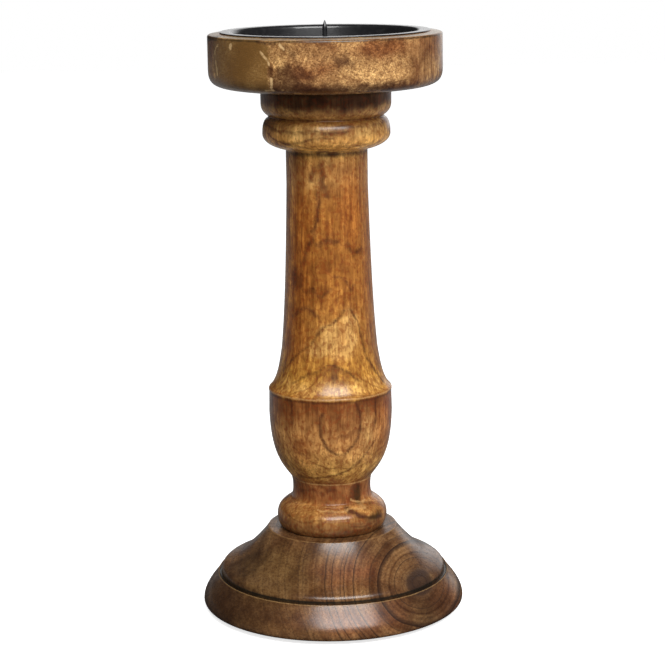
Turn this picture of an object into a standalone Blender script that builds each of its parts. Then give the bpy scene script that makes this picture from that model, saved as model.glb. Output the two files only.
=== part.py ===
"""A turned wooden pillar candlestick: foot, column and dish, screwed together on one axis,
with a loose pressed-steel drip pan that carries the pricket, and felt pads underneath.

Sizes are in millimetres and become Blender's metres where a mesh is made. The origin is on
the turning axis, in the plane that the felt pads stand on; +Z is up. Outlines are lists of
(radius, height) points that run down the outside of a turned piece.
"""

import math

import bmesh
import bpy
from mathutils import Matrix, Vector

MM = 0.001
GAP = 0.3  # between pieces that touch

# Heights of the stages, from the table up.
PAD_THICKNESS = 2.0
FOOT_HEIGHT = 34.6
BEAD_HEIGHT = 13.0
NECK_HEIGHT = 9.8
URN_HEIGHT = 40.2
SHAFT_HEIGHT = 105.4
TORUS_HEIGHT = 13.9
COLLAR_HEIGHT = 11.8
DISH_HEIGHT = 23.7

FOOT_BOTTOM = PAD_THICKNESS
FOOT_TOP = FOOT_BOTTOM + FOOT_HEIGHT
BEAD_TOP = FOOT_TOP + BEAD_HEIGHT
NECK_TOP = BEAD_TOP + NECK_HEIGHT
SHOULDER = NECK_TOP + URN_HEIGHT
SHAFT_TOP = SHOULDER + SHAFT_HEIGHT
GROOVE = SHAFT_TOP + TORUS_HEIGHT
DISH_BOTTOM = GROOVE + COLLAR_HEIGHT
DISH_TOP = DISH_BOTTOM + DISH_HEIGHT

# Radii of the foot: rounded border, the quirk inside it, sloping skirt, flat ledge.
FOOT_RADIUS = 58.0
FOOT_EDGE = 2.0
BORDER_RADIUS = 51.2
BORDER_HEIGHT = 14.2
QUIRK_DEPTH = 0.9
SKIRT_RADIUS = 49.8
SKIRT_MIDDLE_RADIUS = 41.8
SKIRT_MIDDLE_HEIGHT = 20.8
LEDGE_RADIUS = 28.5

# Radii of the column, from the bottom up.
BEAD_RADIUS = 24.3
NECK_RADIUS = 17.3
URN_RADIUS = 26.9
SHOULDER_RADIUS = 27.1
WAIST_RADIUS = 21.0
WAIST_HEIGHT = 18.4
SHAFT_RADIUS = 17.6
TORUS_RADIUS = 27.5
GROOVE_RADIUS = 24.7
COLLAR_RADIUS = 28.0

# Dish.
DISH_RADIUS = 50.0
DISH_EDGE = 1.8
RECESS_RADIUS = 41.0
RECESS_DEPTH = 11.4
RECESS_CORNER = 1.5

# Drip pan, pressed from sheet; its flange hangs on the dish's rim.
SHEET = 0.6
FLANGE_RADIUS = 44.8
FLANGE_BEND = 2.4
PAN_RADIUS = 39.4
PAN_FLOOR_RADIUS = 38.6
PAN_DEPTH = 9.5
PAN_CORNER = 2.0
PAN_HOLE = 1.4
PAN_TOP = DISH_TOP + GAP + SHEET
PAN_FLOOR = PAN_TOP - PAN_DEPTH

# Pricket: a nail pushed up through the pan's hole, with its head welded underneath.
PRICKET_RADIUS = 1.05
PRICKET_LENGTH = 13.3
PRICKET_POINT = 2.8
PRICKET_HEAD_RADIUS = 3.5
PRICKET_HEAD = 0.8

# Joints between the turned pieces: a round tenon in a mortise, drawn up by a screw.
TENON_RADIUS = 10.0
TENON_CHAMFER = 0.8
FOOT_TENON = 16.0
DISH_TENON = 4.4
MORTISE_SPARE = 0.6
COUNTERBORE_RADIUS = 8.0
COUNTERBORE_DEPTH = 10.0

# Wood screws, and the washer under the head of the lower one.
SCREW_RADIUS = 2.3
SCREW_CORE = 1.6
SHANK_RADIUS = 2.1
THREAD_SHARE = 0.66
THREAD_PITCH = 3.0
THREAD_ROWS = 3  # rings of points in one pitch
SCREW_POINT = 6.0
PILOT_RADIUS = SCREW_RADIUS + GAP
PILOT_SPARE = 3.0
FOOT_SCREW_LENGTH = 45.0
DISH_SCREW_LENGTH = 32.0
SCREW_HEAD_RADIUS = 4.6
PAN_HEAD_HEIGHT = 3.2
COUNTERSUNK_HEIGHT = 2.6
COUNTERSINK_RADIUS = 5.3
COUNTERSINK_DEPTH = 3.2
HEAD_SUNK = 0.1
DRIVE_LENGTH = 5.0
DRIVE_WIDTH = 1.1
DRIVE_DEPTH = 1.9
DRIVE_TAPER = 0.45
WASHER_RADIUS = 7.2
WASHER_HOLE = 2.7
WASHER_THICKNESS = 1.2

PAD_RADIUS = 7.5
PAD_CIRCLE = 42.0
PAD_COUNT = 4

# Facets round each turned piece.
WIDE_FACETS = 36
COLUMN_FACETS = 30
PAD_FACETS = 20
PRICKET_FACETS = 12
SCREW_FACETS = 10

SMOOTH_ANGLE = math.radians(35)


def curve(start, handle_1, handle_2, end, steps):
    """Points on a cubic curve, both ends included."""
    corners = (start, handle_1, handle_2, end)
    points = []
    for i in range(steps + 1):
        t = i / steps
        weights = ((1 - t) ** 3, 3 * (1 - t) ** 2 * t, 3 * (1 - t) * t * t, t**3)
        points.append(tuple(sum(w * p[k] for w, p in zip(weights, corners)) for k in (0, 1)))
    return points


def arc(centre, radius, start_deg, end_deg, steps):
    """Points on a circular arc, both ends included; 0 degrees points away from the axis."""
    angles = [math.radians(start_deg + (end_deg - start_deg) * i / steps) for i in range(steps + 1)]
    return [(centre[0] + radius * math.cos(a), centre[1] + radius * math.sin(a)) for a in angles]


def material(name, colour, roughness, metallic=0.0):
    made = bpy.data.materials.new(name)
    made.use_nodes = True
    shader = made.node_tree.nodes["Principled BSDF"]
    shader.inputs["Base Color"].default_value = (*colour, 1.0)
    shader.inputs["Roughness"].default_value = roughness
    shader.inputs["Metallic"].default_value = metallic
    return made


def shown(name, mesh, look):
    """A new object in the scene with that mesh and material, smooth except at its edges."""
    mesh.shade_smooth()
    mesh.set_sharp_from_angle(angle=SMOOTH_ANGLE)
    mesh.materials.append(look)
    made = bpy.data.objects.new(name, mesh)
    bpy.context.scene.collection.objects.link(made)
    return made


def turned(name, outline, look, facets):
    """A solid of revolution about Z. An outline that starts off the axis closes into a ring."""
    points = [(r * MM, 0.0, z * MM) for r, z in outline]
    edges = [(i, i + 1) for i in range(len(points) - 1)]
    if outline[0][0] > 0:
        edges.append((len(points) - 1, 0))
    mesh = bpy.data.meshes.new(name)
    mesh.from_pydata(points, edges, [])
    made = shown(name, mesh, look)
    spin = made.modifiers.new("turning", "SCREW")
    spin.axis = "Z"
    spin.angle = math.radians(360)
    spin.steps = spin.render_steps = facets
    spin.use_merge_vertices = True
    spin.merge_threshold = 0.00001
    return made


def foot_outline():
    """Mortise, ledge, skirt, quirk and rounded border; from below, the counterbored screw hole."""
    mortise = TENON_RADIUS + GAP
    mortise_floor = FOOT_TOP - FOOT_TENON - MORTISE_SPARE
    counterbore_top = FOOT_BOTTOM + COUNTERBORE_DEPTH
    border = FOOT_BOTTOM + BORDER_HEIGHT
    skirt_top = (LEDGE_RADIUS + 0.2, FOOT_TOP - 0.4)
    skirt_middle = (SKIRT_MIDDLE_RADIUS, FOOT_BOTTOM + SKIRT_MIDDLE_HEIGHT)
    skirt_end = (SKIRT_RADIUS, border + 0.8)
    border_bottom = (FOOT_RADIUS, FOOT_BOTTOM + FOOT_EDGE)
    return [
        (PILOT_RADIUS, mortise_floor),
        (mortise, mortise_floor),
        (mortise, FOOT_TOP),
        (LEDGE_RADIUS, FOOT_TOP),
        *curve(skirt_top, (30.5, FOOT_TOP - 3.2), (35.6, FOOT_TOP - 9.0), skirt_middle, 4),
        *curve(skirt_middle, (45.4, border + 4.3), (SKIRT_RADIUS, border + 4.2), skirt_end, 4)[1:],
        (SKIRT_RADIUS, border - QUIRK_DEPTH),
        (BORDER_RADIUS - 0.6, border - QUIRK_DEPTH),
        *curve((BORDER_RADIUS, border), (52.0, border - 2.2), (FOOT_RADIUS, border - 7.2), border_bottom, 6),
        *arc((FOOT_RADIUS - FOOT_EDGE, border_bottom[1]), FOOT_EDGE, -30, -90, 2),
        (COUNTERBORE_RADIUS, FOOT_BOTTOM),
        (COUNTERBORE_RADIUS, counterbore_top),
        (PILOT_RADIUS, counterbore_top),
    ]


def top_end():
    """The column's upper end: pilot hole, tenon, and the face that the dish sits on."""
    face = DISH_BOTTOM - GAP
    tenon_top = face + DISH_TENON
    screw_tip = DISH_TOP - RECESS_DEPTH - HEAD_SUNK - DISH_SCREW_LENGTH
    return [
        (0.0, screw_tip - PILOT_SPARE),
        (PILOT_RADIUS, screw_tip),
        (PILOT_RADIUS, tenon_top),
        (TENON_RADIUS - TENON_CHAMFER, tenon_top),
        (TENON_RADIUS, tenon_top - TENON_CHAMFER),
        (TENON_RADIUS, face),
    ]


def bottom_end():
    """The column's lower end: the face that sits on the foot, tenon, and pilot hole."""
    face = FOOT_TOP + GAP
    tenon_bottom = face - FOOT_TENON
    screw_tip = foot_screw_head_bottom() + FOOT_SCREW_LENGTH
    return [
        (TENON_RADIUS, face),
        (TENON_RADIUS, tenon_bottom + TENON_CHAMFER),
        (TENON_RADIUS - TENON_CHAMFER, tenon_bottom),
        (PILOT_RADIUS, tenon_bottom),
        (PILOT_RADIUS, screw_tip),
        (0.0, screw_tip + PILOT_SPARE),
    ]


def column_outline():
    """Between its two ends: collar, groove, torus, shaft, waist, shoulder, urn, neck and bead."""
    collar_bottom = (GROOVE_RADIUS + 0.4, GROOVE + 0.4)
    torus_top = (GROOVE_RADIUS + 0.3, GROOVE - 0.5)
    torus_middle = (TORUS_RADIUS, SHAFT_TOP + 6.4)
    torus_bottom = (SHAFT_RADIUS + 0.4, SHAFT_TOP)
    waist = (WAIST_RADIUS, SHOULDER + WAIST_HEIGHT)
    shoulder_top = (SHOULDER_RADIUS - 0.1, SHOULDER + 0.3)
    urn_belly = (URN_RADIUS + 0.2, NECK_TOP + 30.2)
    urn_bottom = (NECK_RADIUS + 0.3, NECK_TOP + 0.2)
    neck_top = (NECK_RADIUS + 0.3, NECK_TOP - 0.3)
    neck_bottom = (NECK_RADIUS + 0.6, BEAD_TOP + 0.7)
    bead_middle = (BEAD_RADIUS - 0.5, FOOT_TOP + 8.2)
    return [
        *top_end(),
        (COLLAR_RADIUS, DISH_BOTTOM - GAP),
        *curve((COLLAR_RADIUS, GROOVE + 6.3), (27.8, GROOVE + 3.9), (26.8, GROOVE + 3.2), collar_bottom, 3),
        (GROOVE_RADIUS, GROOVE),
        *curve(torus_top, (27.6, GROOVE - 1.6), (TORUS_RADIUS, GROOVE - 3.5), torus_middle, 4),
        *curve(torus_middle, (TORUS_RADIUS, SHAFT_TOP + 1.9), (19.8, SHAFT_TOP), torus_bottom, 4)[1:],
        (SHAFT_RADIUS, SHAFT_TOP - 0.7),
        *curve((SHAFT_RADIUS, SHAFT_TOP - 15.7), (18.5, SHOULDER + 55.0), (19.4, SHOULDER + 34.6), waist, 5),
        *curve(waist, (22.3, SHOULDER + 9.6), (23.6, SHOULDER + 3.1), shoulder_top, 5)[1:],
        (SHOULDER_RADIUS, SHOULDER - 0.6),
        (URN_RADIUS, SHOULDER - 1.2),
        *curve(urn_belly, (26.5, NECK_TOP + 10.3), (22.1, NECK_TOP + 6.4), urn_bottom, 7),
        *curve(neck_top, (17.0, NECK_TOP - 3.2), (17.0, BEAD_TOP + 3.0), neck_bottom, 3),
        *curve((18.8, BEAD_TOP), (20.6, BEAD_TOP - 0.9), (23.5, BEAD_TOP - 3.1), bead_middle, 4),
        *curve(bead_middle, (24.6, FOOT_TOP + 6.6), (24.6, FOOT_TOP + 2.4), (22.5, FOOT_TOP + GAP), 4)[1:],
        *bottom_end(),
    ]


def dish_outline():
    """Countersunk recess for the pan, rounded rim, upright wall, and the mortise from below."""
    recess_floor = DISH_TOP - RECESS_DEPTH
    mortise = TENON_RADIUS + GAP
    mortise_floor = DISH_BOTTOM + DISH_TENON + MORTISE_SPARE
    wall_bottom = (DISH_RADIUS, DISH_BOTTOM + 7.7)
    belly = (40.4, DISH_BOTTOM + 0.5)
    return [
        (COUNTERSINK_RADIUS, recess_floor),
        (RECESS_RADIUS - RECESS_CORNER, recess_floor),
        (RECESS_RADIUS, recess_floor + RECESS_CORNER),
        (RECESS_RADIUS, DISH_TOP),
        *arc((DISH_RADIUS - DISH_EDGE, DISH_TOP - DISH_EDGE), DISH_EDGE, 90, 0, 3),
        *curve(wall_bottom, (DISH_RADIUS - 0.1, DISH_BOTTOM + 2.8), (47.4, DISH_BOTTOM + 1.1), belly, 5),
        (COLLAR_RADIUS, DISH_BOTTOM),
        (mortise, DISH_BOTTOM),
        (mortise, mortise_floor),
        (PILOT_RADIUS, mortise_floor),
        (PILOT_RADIUS, recess_floor - COUNTERSINK_DEPTH),
    ]


def pan_outline():
    """Upper skin of the pressed pan outwards, then its lower skin back, one sheet apart."""
    bend = (PAN_RADIUS + FLANGE_BEND, PAN_TOP - FLANGE_BEND)
    corner = (PAN_FLOOR_RADIUS - PAN_CORNER, PAN_FLOOR + PAN_CORNER)
    return [
        (PAN_HOLE, PAN_FLOOR),
        *arc(corner, PAN_CORNER, -90, -6, 3),
        *arc(bend, FLANGE_BEND, 174, 90, 4),
        (FLANGE_RADIUS - SHEET / 3, PAN_TOP),
        (FLANGE_RADIUS, PAN_TOP - SHEET / 2),
        (FLANGE_RADIUS - SHEET / 3, PAN_TOP - SHEET),
        *arc(bend, FLANGE_BEND - SHEET, 90, 174, 3),
        *arc(corner, PAN_CORNER + SHEET, -6, -90, 3),
        (PAN_HOLE, PAN_FLOOR - SHEET),
    ]


def pricket_outline():
    """Point, pin, and the flat head under the pan's floor."""
    tip = PAN_FLOOR + PRICKET_LENGTH
    head_top = PAN_FLOOR - SHEET - GAP
    return [
        (0.0, tip),
        (PRICKET_RADIUS, tip - PRICKET_POINT),
        (PRICKET_RADIUS, head_top),
        (PRICKET_HEAD_RADIUS, head_top),
        (PRICKET_HEAD_RADIUS, head_top - PRICKET_HEAD),
        (0.0, head_top - PRICKET_HEAD),
    ]


def thread_ring(row, rows):
    """Radii round one ring of the thread: a helical ridge on a core that tapers to the point."""
    taper = min(1.0, (rows - row + 1) * THREAD_PITCH / THREAD_ROWS / SCREW_POINT)
    ridge_height = (SCREW_RADIUS - SCREW_CORE) * min(1.0, row / THREAD_ROWS)
    radii = []
    for i in range(SCREW_FACETS):
        phase = (row / THREAD_ROWS + i / SCREW_FACETS) % 1.0
        ridge = max(0.0, 1.0 - abs(phase - 0.5) * 4.0)
        radii.append(taper * (SCREW_CORE + ridge * ridge_height))
    return radii


def screw_mesh(name, head, length):
    """A wood screw along -Z from its head outline, which runs from the axis out to the shank."""
    seat = head[-1][1]
    thread_top = seat - length * (1 - THREAD_SHARE)
    rows = int(length * THREAD_SHARE * THREAD_ROWS / THREAD_PITCH)
    rings = [([r] * SCREW_FACETS, z) for r, z in head[1:]]
    rings.append(([SHANK_RADIUS] * SCREW_FACETS, thread_top))
    for row in range(1, rows):
        rings.append((thread_ring(row, rows), thread_top - row * THREAD_PITCH / THREAD_ROWS))

    mesh = bmesh.new()
    crown = mesh.verts.new((0.0, 0.0, head[0][1] * MM))
    tip = mesh.verts.new((0.0, 0.0, (seat - length) * MM))
    loops = []
    for radii, z in rings:
        loop = []
        for i, r in enumerate(radii):
            angle = 2 * math.pi * i / SCREW_FACETS
            loop.append(mesh.verts.new((r * MM * math.cos(angle), r * MM * math.sin(angle), z * MM)))
        loops.append(loop)
    for i in range(SCREW_FACETS):
        j = (i + 1) % SCREW_FACETS
        mesh.faces.new((crown, loops[0][i], loops[0][j]))
        mesh.faces.new((tip, loops[-1][j], loops[-1][i]))
        for upper, lower in zip(loops, loops[1:]):
            mesh.faces.new((upper[i], lower[i], lower[j], upper[j]))
    made = bpy.data.meshes.new(name)
    mesh.to_mesh(made)
    mesh.free()
    return made


def cut_cross(screw, look):
    """Cut a tapering cross recess into the top of a screw's head."""
    blades = bmesh.new()
    for quarter in range(2):
        blade = bmesh.ops.create_cube(blades, size=1.0)["verts"]
        for corner in blade:
            low = corner.co.z < 0
            width = DRIVE_TAPER if low else 1.0
            corner.co.x *= DRIVE_LENGTH * width
            corner.co.y *= DRIVE_WIDTH * width
            corner.co.z = -DRIVE_DEPTH if low else DRIVE_DEPTH
            corner.co *= MM
        bmesh.ops.rotate(blades, verts=blade, matrix=Matrix.Rotation(math.radians(90 * quarter), 3, "Z"))
    mesh = bpy.data.meshes.new(screw.name + "_cross")
    blades.to_mesh(mesh)
    blades.free()
    cutter = shown(screw.name + "_cross", mesh, look)
    cutter.hide_render = True
    cutter.display_type = "WIRE"
    cutter.parent = screw
    recess = screw.modifiers.new("cross recess", "BOOLEAN")
    recess.operation = "DIFFERENCE"
    recess.solver = "EXACT"
    recess.use_self = True
    recess.object = cutter


def foot_screw_head_bottom():
    """Height of the lower screw's bearing face, against its washer."""
    return FOOT_BOTTOM + COUNTERBORE_DEPTH - GAP - WASHER_THICKNESS - GAP


def make_foot_screw(look):
    """Pan-head screw that points up, out of the counterbore, through the foot into the column."""
    head = [
        (0.0, 0.0),
        (SCREW_HEAD_RADIUS * 0.6, -0.3),
        (SCREW_HEAD_RADIUS * 0.93, -PAN_HEAD_HEIGHT * 0.45),
        (SCREW_HEAD_RADIUS, -PAN_HEAD_HEIGHT * 0.8),
        (SCREW_HEAD_RADIUS, -PAN_HEAD_HEIGHT),
        (SHANK_RADIUS, -PAN_HEAD_HEIGHT),
    ]
    screw = shown("foot_screw", screw_mesh("foot_screw", head, FOOT_SCREW_LENGTH), look)
    screw.rotation_euler.x = math.radians(180)
    screw.location.z = (foot_screw_head_bottom() - PAN_HEAD_HEIGHT) * MM
    cut_cross(screw, look)


def make_dish_screw(look):
    """Countersunk screw that points down, through the dish's floor into the column."""
    head = [
        (0.0, 0.0),
        (SCREW_HEAD_RADIUS - 0.3, 0.0),
        (SCREW_HEAD_RADIUS, -0.3),
        (SHANK_RADIUS, -COUNTERSUNK_HEIGHT),
    ]
    length = DISH_SCREW_LENGTH - COUNTERSUNK_HEIGHT
    screw = shown("dish_screw", screw_mesh("dish_screw", head, length), look)
    screw.location.z = (DISH_TOP - RECESS_DEPTH - HEAD_SUNK) * MM
    cut_cross(screw, look)


def make_washer(look):
    top = FOOT_BOTTOM + COUNTERBORE_DEPTH - GAP
    bottom = top - WASHER_THICKNESS
    outline = [(WASHER_HOLE, top), (WASHER_RADIUS, top), (WASHER_RADIUS, bottom), (WASHER_HOLE, bottom)]
    turned("foot_washer", outline, look, PAD_FACETS)


def make_felt_pads(look):
    """Round felt pads, evenly round a circle under the foot."""
    top = PAD_THICKNESS - GAP
    outline = [(0.0, top), (PAD_RADIUS, top), (PAD_RADIUS, 0.0), (0.0, 0.0)]
    for i in range(PAD_COUNT):
        pad = turned(f"felt_pad_{i + 1}", outline, look, PAD_FACETS)
        angle = math.radians(45 + 360 * i / PAD_COUNT)
        pad.location = Vector((math.cos(angle), math.sin(angle), 0.0)) * PAD_CIRCLE * MM


def main():
    for old in list(bpy.data.objects):
        bpy.data.objects.remove(old)
    walnut_brown = material("walnut_brown_wood", (0.10, 0.045, 0.02), 0.35)
    amber = material("amber_wood", (0.30, 0.13, 0.045), 0.33)
    pale_brown = material("pale_brown_wood", (0.26, 0.13, 0.05), 0.4)
    black_enamel = material("black_enamel", (0.012, 0.012, 0.013), 0.3)
    zinc_steel = material("zinc_steel", (0.6, 0.6, 0.58), 0.35, metallic=1.0)
    felt = material("black_felt", (0.02, 0.018, 0.016), 0.95)

    turned("foot", foot_outline(), walnut_brown, WIDE_FACETS)
    turned("column", column_outline(), amber, COLUMN_FACETS)
    turned("dish", dish_outline(), pale_brown, WIDE_FACETS)
    turned("drip_pan", pan_outline(), black_enamel, WIDE_FACETS)
    turned("pricket", pricket_outline(), black_enamel, PRICKET_FACETS)
    make_dish_screw(zinc_steel)
    make_foot_screw(zinc_steel)
    make_washer(zinc_steel)
    make_felt_pads(felt)


main()
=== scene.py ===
"""Looks of the turned wooden candlestick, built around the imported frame.

Sizes are in millimetres and become Blender's metres where a mesh is made. Outlines are lists of
(radius, height) points that run down the outside of a turned piece, with the height taken from
the table. Azimuths are in degrees round the axis: 0 faces the front and 90 the right-hand side.
"""

import math

import bmesh
import bpy
import numpy as np
from mathutils import Matrix, Vector, noise


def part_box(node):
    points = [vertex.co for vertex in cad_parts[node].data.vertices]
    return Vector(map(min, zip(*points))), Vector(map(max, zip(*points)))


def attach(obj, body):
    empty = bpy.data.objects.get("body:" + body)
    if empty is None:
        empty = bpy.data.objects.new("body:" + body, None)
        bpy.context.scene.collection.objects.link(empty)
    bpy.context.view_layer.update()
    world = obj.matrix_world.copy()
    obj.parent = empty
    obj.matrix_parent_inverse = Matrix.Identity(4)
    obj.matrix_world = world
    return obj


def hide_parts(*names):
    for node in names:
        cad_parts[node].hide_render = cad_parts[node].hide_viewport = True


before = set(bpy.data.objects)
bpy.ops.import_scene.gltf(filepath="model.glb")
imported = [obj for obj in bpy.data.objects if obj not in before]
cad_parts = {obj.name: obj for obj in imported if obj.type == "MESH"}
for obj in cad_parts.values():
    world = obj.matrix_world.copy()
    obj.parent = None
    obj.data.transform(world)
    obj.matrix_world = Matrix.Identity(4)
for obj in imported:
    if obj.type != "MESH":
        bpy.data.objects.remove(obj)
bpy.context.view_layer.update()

MM = 0.001


def low_high(node):
    """Lowest and highest point of a CAD node, in millimetres."""
    low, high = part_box(node)
    return low.z / MM, high.z / MM


def radius_of(node):
    """Radius of a CAD node about the axis, in millimetres."""
    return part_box(node)[1].x / MM


# Places that come from the frame.
FOOT_BOTTOM, FOOT_TOP = low_high("foot")
DISH_BOTTOM, DISH_TOP = low_high("dish")
FOOT_RADIUS = radius_of("foot")
COLUMN_RADIUS = radius_of("column")
DISH_RADIUS = radius_of("dish")
FLANGE_RADIUS = radius_of("drip_pan")
PRICKET_TIP = low_high("pricket")[1]
WASHER_BOTTOM, WASHER_TOP = low_high("foot_washer")
FOOT_SCREW_BOTTOM, FOOT_SCREW_TOP = low_high("foot_screw")
DISH_SCREW_BOTTOM, DISH_SCREW_TOP = low_high("dish_screw")
PAD_TOP = low_high("felt_pad_1")[1]

# Heights of the column's stages.
BEAD_TOP = FOOT_TOP + 13.0
NECK_TOP = BEAD_TOP + 9.8
SHOULDER = NECK_TOP + 40.2
SHAFT_TOP = SHOULDER + 105.4
GROOVE = SHAFT_TOP + 13.9

# Radii.
FOOT_EDGE = 2.0
BORDER_RADIUS = 51.2
BORDER_TOP = FOOT_BOTTOM + 14.2
QUIRK_DEPTH = 0.9
SKIRT_RADIUS = 49.8
SKIRT_MIDDLE = (41.8, FOOT_BOTTOM + 20.8)
LEDGE_RADIUS = 28.5
NECK_RADIUS = 17.3
URN_RADIUS = 26.9
SHOULDER_RADIUS = 27.1
WAIST = (21.0, SHOULDER + 18.4)
SHAFT_RADIUS = 17.6
TORUS_RADIUS = 27.5
GROOVE_RADIUS = 24.7
COLLAR_RADIUS = COLUMN_RADIUS
DISH_EDGE = 0.9
RIM_FALL = 0.5
RECESS_RADIUS = 41.0
RECESS_DEPTH = 11.4
RECESS_CORNER = 1.5

# A chip in the dish's rim, as an oval on the wall.
CHIP_AZIMUTH = -28.0
CHIP_BELOW_TOP = 0.9
CHIP_HALF_WIDTH = 3.9
CHIP_HALF_HEIGHT = 1.3
CHIP_DEPTH = 0.45

# Drip pan, which lies on the dish's rim.
SHEET = 0.5
REST_GAP = 0.03
PAN_TOP = DISH_TOP + REST_GAP + SHEET
PAN_FLOOR = PAN_TOP - 9.3
PAN_RADIUS = 39.4
PAN_FLOOR_RADIUS = 38.6
PAN_CORNER = 2.2
PAN_HOLE = 1.3
FLANGE_BEND = 1.6
PRICKET_RADIUS = 1.05
PRICKET_POINT = 3.0
PRICKET_HEAD_RADIUS = 3.5
PRICKET_HEAD = 0.8

# Joints and fasteners.
GAP = 0.3
TENON_RADIUS = 10.0
FOOT_TENON = 16.0
DISH_TENON = 4.4
MORTISE_SPARE = 0.6
COUNTERBORE_RADIUS = 8.0
COUNTERBORE_DEPTH = 10.0
PILOT_RADIUS = 2.6
COUNTERSINK_RADIUS = 5.3
COUNTERSINK_DEPTH = 3.2
SCREW_RADIUS = 2.3
SCREW_CORE = 1.6
SHANK_RADIUS = 2.1
SCREW_HEAD_RADIUS = 4.6
FOOT_SCREW_HEAD = 3.2
DISH_SCREW_HEAD = 2.6
THREAD_PITCH = 3.0
THREAD_SHARE = 0.66
SCREW_POINT = 6.0
CROSS_LENGTH = 5.0
CROSS_WIDTH = 1.1
CROSS_DEPTH = 1.9
CROSS_TAPER = 0.45
SCREW_SHARP = 35
WASHER_RADIUS = 7.2
WASHER_HOLE = 2.7
PAD_RADIUS = 7.5
PAD_CIRCLE = 42.0
PAD_COUNT = 4

# Fineness of the meshes.
FACETS = 180
DISH_FACETS = 320
STEP = 1.1
MARKED_STEP = 0.9
EASE = 0.3

# Camera: far enough back for a long lens, a little above the dish.
CAMERA_PLACE = Vector((1.343, -866.62, 307.72))
CAMERA_DROP = 0.209266
CAMERA_ROLL = -0.0150636
LENS = 109.53
FLOOR_HALF = 3000.0


# ---------------------------------------------------------------- geometry

def curve(start, handle_1, handle_2, end, steps=24):
    """Points on a cubic curve, both ends included."""
    corners = (start, handle_1, handle_2, end)
    points = []
    for i in range(steps + 1):
        t = i / steps
        weights = ((1 - t) ** 3, 3 * (1 - t) ** 2 * t, 3 * (1 - t) * t * t, t**3)
        points.append(tuple(sum(w * p[k] for w, p in zip(weights, corners)) for k in (0, 1)))
    return points


def arc(centre, radius, start_deg, end_deg, steps=8):
    """Points on a circular arc, both ends included; 0 degrees points away from the axis."""
    angles = [math.radians(start_deg + (end_deg - start_deg) * i / steps) for i in range(steps + 1)]
    return [(centre[0] + radius * math.cos(a), centre[1] + radius * math.sin(a)) for a in angles]


def eased(outline, ease=EASE, least_turn=20.0):
    """The outline with a small round on each sharp corner, as sanding leaves it."""
    ring = outline[0][0] > 0
    result = []
    for i, point in enumerate(outline):
        corner = Vector(point)
        back = Vector(outline[i - 1]) - corner
        on = Vector(outline[(i + 1) % len(outline)]) - corner
        end = not ring and i in (0, len(outline) - 1)
        if end or 180 - math.degrees(back.angle(on)) < least_turn:
            result.append(point)
            continue
        start = corner + back.normalized() * min(ease, back.length * 0.45)
        stop = corner + on.normalized() * min(ease, on.length * 0.45)
        for t in (0, 0.33, 0.67, 1):
            result.append(tuple(start * (1 - t) ** 2 + corner * 2 * t * (1 - t) + stop * t * t))
    return result


def divided(outline, step=STEP):
    """The outline with its long stretches split, so that no face is much longer than a step."""
    ring = outline[0][0] > 0
    closing = [outline[0]] if ring else []
    result = []
    for start, stop in zip(outline, outline[1:] + closing):
        parts = max(1, round(math.dist(start, stop) / step))
        for i in range(parts):
            t = i / parts
            result.append((start[0] + (stop[0] - start[0]) * t, start[1] + (stop[1] - start[1]) * t))
    return result if ring else result + [outline[-1]]


def linked(name, mesh, sharp=50):
    """Put a mesh in the scene, smooth apart from edges that turn by more than the sharp angle."""
    mesh.shade_smooth()
    mesh.set_sharp_from_angle(angle=math.radians(sharp))
    piece = bpy.data.objects.new(name, mesh)
    bpy.context.scene.collection.objects.link(piece)
    return piece


def turned(name, outline, facets=FACETS, ease=EASE, step=STEP):
    """A fine solid of revolution about Z. An outline that starts off the axis closes into a ring."""
    points = divided(eased(outline, ease), step)
    verts = []
    loops = []
    for r, z in points:
        count = facets if r > 0 else 1
        loops.append(range(len(verts), len(verts) + count))
        for i in range(count):
            angle = 2 * math.pi * i / facets
            verts.append((r * MM * math.cos(angle), r * MM * math.sin(angle), z * MM))
    closing = [loops[0]] if points[0][0] > 0 else []
    faces = []
    for upper, lower in zip(loops, loops[1:] + closing):
        for i in range(facets):
            j = (i + 1) % facets
            if len(upper) == 1:
                faces.append((upper[0], lower[i], lower[j]))
            elif len(lower) == 1:
                faces.append((upper[i], lower[0], upper[j]))
            else:
                faces.append((upper[i], lower[i], lower[j], upper[j]))
    mesh = bpy.data.meshes.new(name)
    mesh.from_pydata(verts, [], faces)
    return linked(name, mesh)


def fitted(piece, node, body, look):
    """Give a piece its material and its body, and hide the CAD node that it stands for."""
    piece.data.materials.clear()
    piece.data.materials.append(look)
    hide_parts(node)
    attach(piece, body)


# ---------------------------------------------------------------- marks in the wood
# A mark is a function of arrays with a value for each point of the mesh: the azimuth and the height
# after straying, the radius, and the level, which is the height before. It gives the distance in mm
# to the mark's edge, negative inside. Each family of marks is kept on the mesh as one attribute.
# The noise that bends the marks is seeded, so that each run gives the same ones.

FAR = 60.0
NOISE_SEED = 2
noise.seed_set(NOISE_SEED)


def stroke(half_width, *route):
    """A line drawn round the piece through (azimuth, height) points."""
    def distance(azimuth, height, radius, level):
        nearest = np.full(len(azimuth), FAR)
        for (a0, z0), (a1, z1) in zip(route, route[1:]):
            across = np.radians((azimuth - a0 + 180) % 360 - 180) * radius
            up = height - z0
            dx = math.radians(a1 - a0) * radius
            dz = z1 - z0
            t = np.clip((across * dx + up * dz) / (dx * dx + dz * dz), 0, 1)
            nearest = np.minimum(nearest, np.hypot(across - t * dx, up - t * dz))
        return nearest - half_width
    return distance


def spot(azimuth_0, height_0, half_width, half_height, power=2):
    """An oval patch; a higher power makes it squarer."""
    def distance(azimuth, height, radius, level):
        across = np.radians((azimuth - azimuth_0 + 180) % 360 - 180) * radius
        sides = np.abs(across / half_width) ** power + np.abs((height - height_0) / half_height) ** power
        share = sides ** (1 / power)
        return (share - 1) * min(half_width, half_height)
    return distance


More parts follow.
